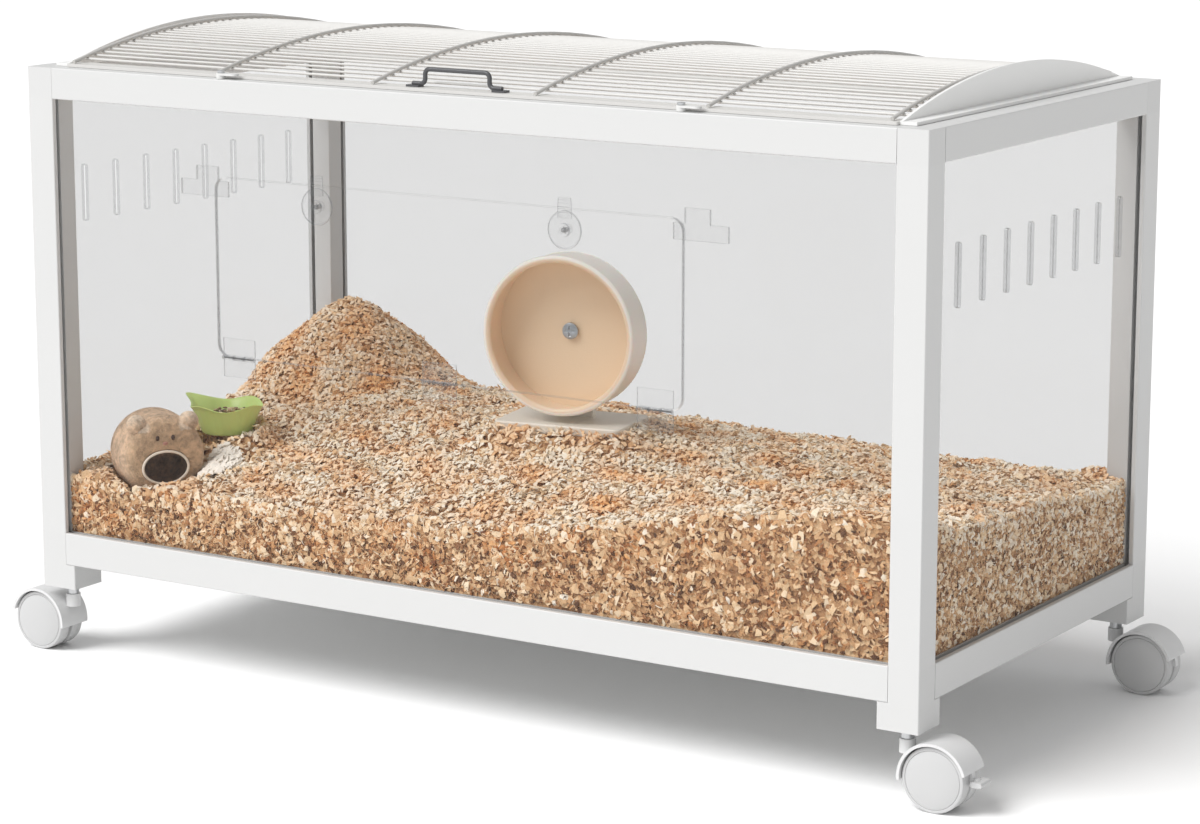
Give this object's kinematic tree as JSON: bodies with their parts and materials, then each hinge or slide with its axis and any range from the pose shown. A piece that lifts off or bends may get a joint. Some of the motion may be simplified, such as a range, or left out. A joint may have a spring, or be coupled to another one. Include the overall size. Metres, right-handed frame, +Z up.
{
  "type": "hamster cage",
  "caption": "Glazed small-animal cage on casters with an arched wire lid, a drop-down feeding door, bedding, exercise wheel, hideout hut and food bowl.",
  "frame": {"origin": "on the ground under the middle of the cage", "axes": "+X along the cage's length to the right, -Y towards the front with the feeding door, +Z up"},
  "size_m": [1.1124, 0.486, 0.6346],
  "materials": {
    "frame_white": "white powder coat",
    "corner_white": "white moulded plastic",
    "clear_panel": "clear acrylic",
    "clear_fitting": "clear acrylic fitting",
    "floor_white": "white sheet",
    "lid_white": "white coated wire and sheet",
    "lid_rib_grey": "grey coated wire",
    "handle_grey": "dark grey coated wire",
    "zinc": "zinc-plated",
    "tab_white": "white coated plate",
    "caster_white": "white nylon",
    "caster_wheel": "light grey nylon",
    "wood_chip": "loose wood chips",
    "drum_clear": "translucent beige plastic",
    "disc_tan": "tan board",
    "stand_cream": "cream plastic",
    "hut_fabric": "short beige pile",
    "bowl_green": "light green plastic"
  },
  "bodies": {
    "cage": {"back_bottom_rail": "frame_white", "back_left_post": "frame_white", "back_panel": "clear_panel", "back_right_post": "frame_white", "back_top_rail": "frame_white", "bedding": "wood_chip", "caster_stems": "zinc", "corner_feet": "corner_white", "door_corner_stops": "clear_fitting", "door_hinge_panel_leaves": "clear_fitting", "door_hinge_pins": "clear_fitting", "floor_panel": "floor_white", "food_bowl": "bowl_green", "front_bottom_rail": "frame_white", "front_left_post": "frame_white", "front_panel": "clear_panel", "front_right_post": "frame_white", "front_top_rail": "frame_white", "hideout_hut": "hut_fabric", "left_bottom_rail": "frame_white", "left_panel": "clear_panel", "left_top_rail": "frame_white", "lid_hinge_pins": "zinc", "lid_hinge_rail_leaves": "zinc", "right_bottom_rail": "frame_white", "right_panel": "clear_panel", "right_top_rail": "frame_white", "top_corner_blocks": "corner_white", "turn_tab_screws": "zinc", "wheel_axle": "zinc", "wheel_base": "stand_cream", "wheel_stand": "stand_cream"},
    "lid": {"lid_wires": "lid_white", "lid_ribs": "lid_rib_grey", "lid_front_bar": "lid_white", "lid_back_bar": "lid_white", "lid_left_end_cap": "lid_white", "lid_right_end_cap": "lid_white", "lid_handle": "handle_grey", "lid_hinge_lid_leaves": "zinc"},
    "door": {"door_panel": "clear_panel", "door_hinge_door_leaves": "clear_fitting", "door_latch_pivots": "clear_fitting"},
    "left_latch": {"left_door_latch": "clear_fitting"},
    "right_latch": {"right_door_latch": "clear_fitting"},
    "left_tab": {"left_turn_tab": "tab_white"},
    "right_tab": {"right_turn_tab": "tab_white"},
    "front_left_swivel": {"front_left_caster_hood": "caster_white"},
    "front_left_wheels": {"front_left_caster_wheels": "caster_wheel"},
    "front_right_swivel": {"front_right_caster_hood": "caster_white"},
    "front_right_wheels": {"front_right_caster_wheels": "caster_wheel"},
    "back_left_swivel": {"back_left_caster_hood": "caster_white"},
    "back_left_wheels": {"back_left_caster_wheels": "caster_wheel"},
    "back_right_swivel": {"back_right_caster_hood": "caster_white"},
    "back_right_wheels": {"back_right_caster_wheels": "caster_wheel"},
    "front_right_brake": {"front_right_brake_lever": "caster_wheel"},
    "back_left_brake": {"back_left_brake_lever": "caster_wheel"},
    "exercise_wheel": {"wheel_drum": "drum_clear", "wheel_back_disc": "disc_tan"}
  },
  "joints": [
    {"name": "lid_hinge", "type": "hinge", "parent": "cage", "child": "lid", "pos_m": [0, 0.233, 0.604], "axis": [-1, 0, 0], "range_deg": [0, 100]},
    {"name": "door_hinge", "type": "hinge", "parent": "cage", "child": "door", "pos_m": [-0.008, -0.2405, 0.33], "axis": [1, 0, 0], "range_deg": [0, 170]},
    {"name": "left_latch_turn", "type": "hinge", "parent": "door", "child": "left_latch", "pos_m": [-0.1475, -0.2395, 0.4855], "axis": [0, -1, 0], "range_deg": [-90, 90]},
    {"name": "right_latch_turn", "type": "hinge", "parent": "door", "child": "right_latch", "pos_m": [0.1315, -0.2395, 0.4855], "axis": [0, -1, 0], "range_deg": [-90, 90]},
    {"name": "left_tab_turn", "type": "hinge", "parent": "cage", "child": "left_tab", "pos_m": [-0.262, -0.236, 0.604], "axis": [0, 0, 1], "range_deg": [0, 90]},
    {"name": "right_tab_turn", "type": "hinge", "parent": "cage", "child": "right_tab", "pos_m": [0.252, -0.236, 0.604], "axis": [0, 0, 1], "range_deg": [0, 90]},
    {"name": "front_left_caster_swivel", "type": "hinge", "parent": "cage", "child": "front_left_swivel", "pos_m": [-0.47925, -0.22225, 0.053], "axis": [0, 0, 1], "continuous": true},
    {"name": "front_left_caster_roll", "type": "hinge", "parent": "front_left_swivel", "child": "front_left_wheels", "pos_m": [-0.51225, -0.22225, 0.03], "axis": [0, 1, 0], "continuous": true},
    {"name": "front_right_caster_swivel", "type": "hinge", "parent": "cage", "child": "front_right_swivel", "pos_m": [0.47925, -0.22225, 0.053], "axis": [0, 0, 1], "continuous": true},
    {"name": "front_right_caster_roll", "type": "hinge", "parent": "front_right_swivel", "child": "front_right_wheels", "pos_m": [0.51225, -0.22225, 0.03], "axis": [0, 1, 0], "continuous": true},
    {"name": "back_left_caster_swivel", "type": "hinge", "parent": "cage", "child": "back_left_swivel", "pos_m": [-0.47925, 0.22225, 0.053], "axis": [0, 0, 1], "continuous": true},
    {"name": "back_left_caster_roll", "type": "hinge", "parent": "back_left_swivel", "child": "back_left_wheels", "pos_m": [-0.51225, 0.22225, 0.03], "axis": [0, 1, 0], "continuous": true},
    {"name": "back_right_caster_swivel", "type": "hinge", "parent": "cage", "child": "back_right_swivel", "pos_m": [0.47925, 0.22225, 0.053], "axis": [0, 0, 1], "continuous": true},
    {"name": "back_right_caster_roll", "type": "hinge", "parent": "back_right_swivel", "child": "back_right_wheels", "pos_m": [0.51225, 0.22225, 0.03], "axis": [0, 1, 0], "continuous": true},
    {"name": "front_right_brake_press", "type": "hinge", "parent": "front_right_swivel", "child": "front_right_brake", "pos_m": [0.54725, -0.22225, 0.03], "axis": [0, 1, 0], "range_deg": [0, 15]},
    {"name": "back_left_brake_press", "type": "hinge", "parent": "back_left_swivel", "child": "back_left_brake", "pos_m": [-0.54725, 0.22225, 0.03], "axis": [0, -1, 0], "range_deg": [0, 15]},
    {"name": "exercise_wheel_spin", "type": "hinge", "parent": "cage", "child": "exercise_wheel", "pos_m": [-0.005, -0.043, 0.3448], "axis": [0.1736, -0.9848, 0], "continuous": true}
  ]
}
